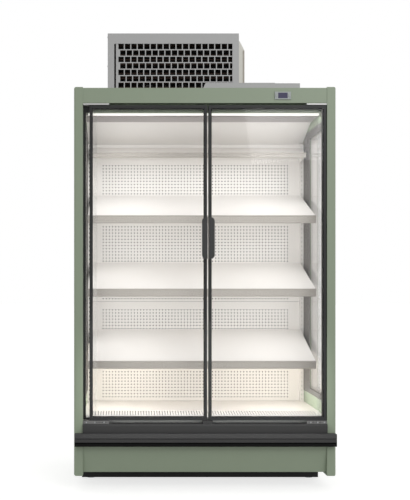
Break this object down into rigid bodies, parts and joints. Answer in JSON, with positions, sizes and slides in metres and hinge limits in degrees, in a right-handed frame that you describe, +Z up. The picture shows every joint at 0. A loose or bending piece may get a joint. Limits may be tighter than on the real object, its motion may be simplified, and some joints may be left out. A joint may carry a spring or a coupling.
{
  "type": "refrigerated merchandiser",
  "caption": "Tall chilled display cabinet with hinged glass doors, sloping shelves, glazed end walls, a bumper rail and a roof-mounted condensing unit.",
  "frame": {"origin": "on the floor, under the middle of the overall box", "axes": "+X to the right as seen from the front, -Y towards the customer, +Z up"},
  "size_m": [1.33, 0.78, 2.387],
  "materials": {
    "green_paint": "satin powder coat",
    "white_paint": "satin white powder coat",
    "white_liner": "coated liner sheet over foam",
    "dark_sill": "dark grey moulded plastic",
    "black_bumper": "black plastic",
    "outlet_plastic": "pale grey moulded honeycomb",
    "black_sheet": "matte black paint",
    "black_frame": "black anodised profile",
    "clear_glass": "clear toughened glass",
    "clear_seal": "clear soft seal",
    "pale_alloy": "satin",
    "grey_trim": "grey paint",
    "price_plastic": "pale grey extrusion",
    "lamp_diffuser": "opal diffuser",
    "unit_grey": "grey powder coat",
    "cowl_beige": "pale paint",
    "coil_fins": "finned coil",
    "fan_plastic": "black moulded plastic",
    "motor_steel": "plated steel",
    "bezel_grey": "pale grey plastic",
    "display_glass": "tinted window",
    "gland_plastic": "black nylon"
  },
  "bodies": {
    "cabinet": {"air_outlet": "outlet_plastic", "base_frame": "black_sheet", "bumper": "black_bumper", "canopy_lamp": "lamp_diffuser", "canopy_panel": "white_paint", "compressor": "black_sheet", "condenser_coil": "coil_fins", "condenser_motor": "motor_steel", "condenser_shroud": "black_sheet", "controller_bezel": "bezel_grey", "controller_display": "display_glass", "deck_pan": "white_paint", "door_catch": "dark_sill", "door_jambs": "black_frame", "evaporator_coil": "coil_fins", "evaporator_fan_plate": "motor_steel", "evaporator_motors": "motor_steel", "front_sill": "dark_sill", "header_panel": "green_paint", "hinge_plates": "pale_alloy", "insulated_tub": "white_liner", "kick_plate": "black_sheet", "left_end_panel": "green_paint", "levelling_feet": "motor_steel", "lower_front_panel": "green_paint", "price_rails": "price_plastic", "rear_hood": "white_paint", "rear_panels": "white_paint", "rear_wall": "white_liner", "return_grille": "white_paint", "right_end_panel": "green_paint", "roof_panel": "white_liner", "seal_strips": "clear_seal", "shelf_1": "white_paint", "shelf_2": "white_paint", "shelf_3": "white_paint", "shelf_4": "white_paint", "shelf_brackets": "white_paint", "shelf_uprights": "white_paint", "supply_gland": "gland_plastic", "unit_grille": "unit_grey", "unit_housing": "unit_grey", "unit_side_cowl": "cowl_beige", "unit_tray": "unit_grey", "window_glass": "clear_glass", "window_trims": "grey_trim", "wiring_trunk": "unit_grey"},
    "left_door": {"left_door_frame": "black_frame", "left_door_glass": "clear_glass", "left_door_gasket": "clear_seal", "left_door_handle": "black_bumper"},
    "right_door": {"right_door_frame": "black_frame", "right_door_glass": "clear_glass", "right_door_gasket": "clear_seal", "right_door_handle": "black_bumper"},
    "evaporator_fan_left": {"evaporator_fan_left": "fan_plastic"},
    "evaporator_fan_right": {"evaporator_fan_right": "fan_plastic"},
    "condenser_fan": {"condenser_fan": "fan_plastic"},
    "key_left": {"controller_key_left": "bezel_grey"},
    "key_right": {"controller_key_right": "bezel_grey"}
  },
  "joints": [
    {"name": "left_door_hinge", "type": "hinge", "parent": "cabinet", "child": "left_door", "pos_m": [-0.566, -0.328, 1.155], "axis": [0, 0, -1], "range_deg": [0, 95], "stiffness_Nm_per_rad": 1.5},
    {"name": "right_door_hinge", "type": "hinge", "parent": "cabinet", "child": "right_door", "pos_m": [0.596, -0.328, 1.155], "axis": [0, 0, 1], "range_deg": [0, 95], "stiffness_Nm_per_rad": 1.5},
    {"name": "evaporator_fan_left_spin", "type": "hinge", "parent": "cabinet", "child": "evaporator_fan_left", "pos_m": [-0.3, -0.057, 0.2685], "axis": [0, 1, 0], "continuous": true},
    {"name": "evaporator_fan_right_spin", "type": "hinge", "parent": "cabinet", "child": "evaporator_fan_right", "pos_m": [0.3, -0.057, 0.2685], "axis": [0, 1, 0], "continuous": true},
    {"name": "condenser_fan_spin", "type": "hinge", "parent": "cabinet", "child": "condenser_fan", "pos_m": [-0.19, -0.028, 2.195], "axis": [0, 1, 0], "continuous": true},
    {"name": "key_left_press", "type": "slide", "parent": "cabinet", "child": "key_left", "axis": [0, 1, 0], "range_m": [0, 0.001], "stiffness_N_per_m": 900},
    {"name": "key_right_press", "type": "slide", "parent": "cabinet", "child": "key_right", "axis": [0, 1, 0], "range_m": [0, 0.001], "stiffness_N_per_m": 900}
  ]
}
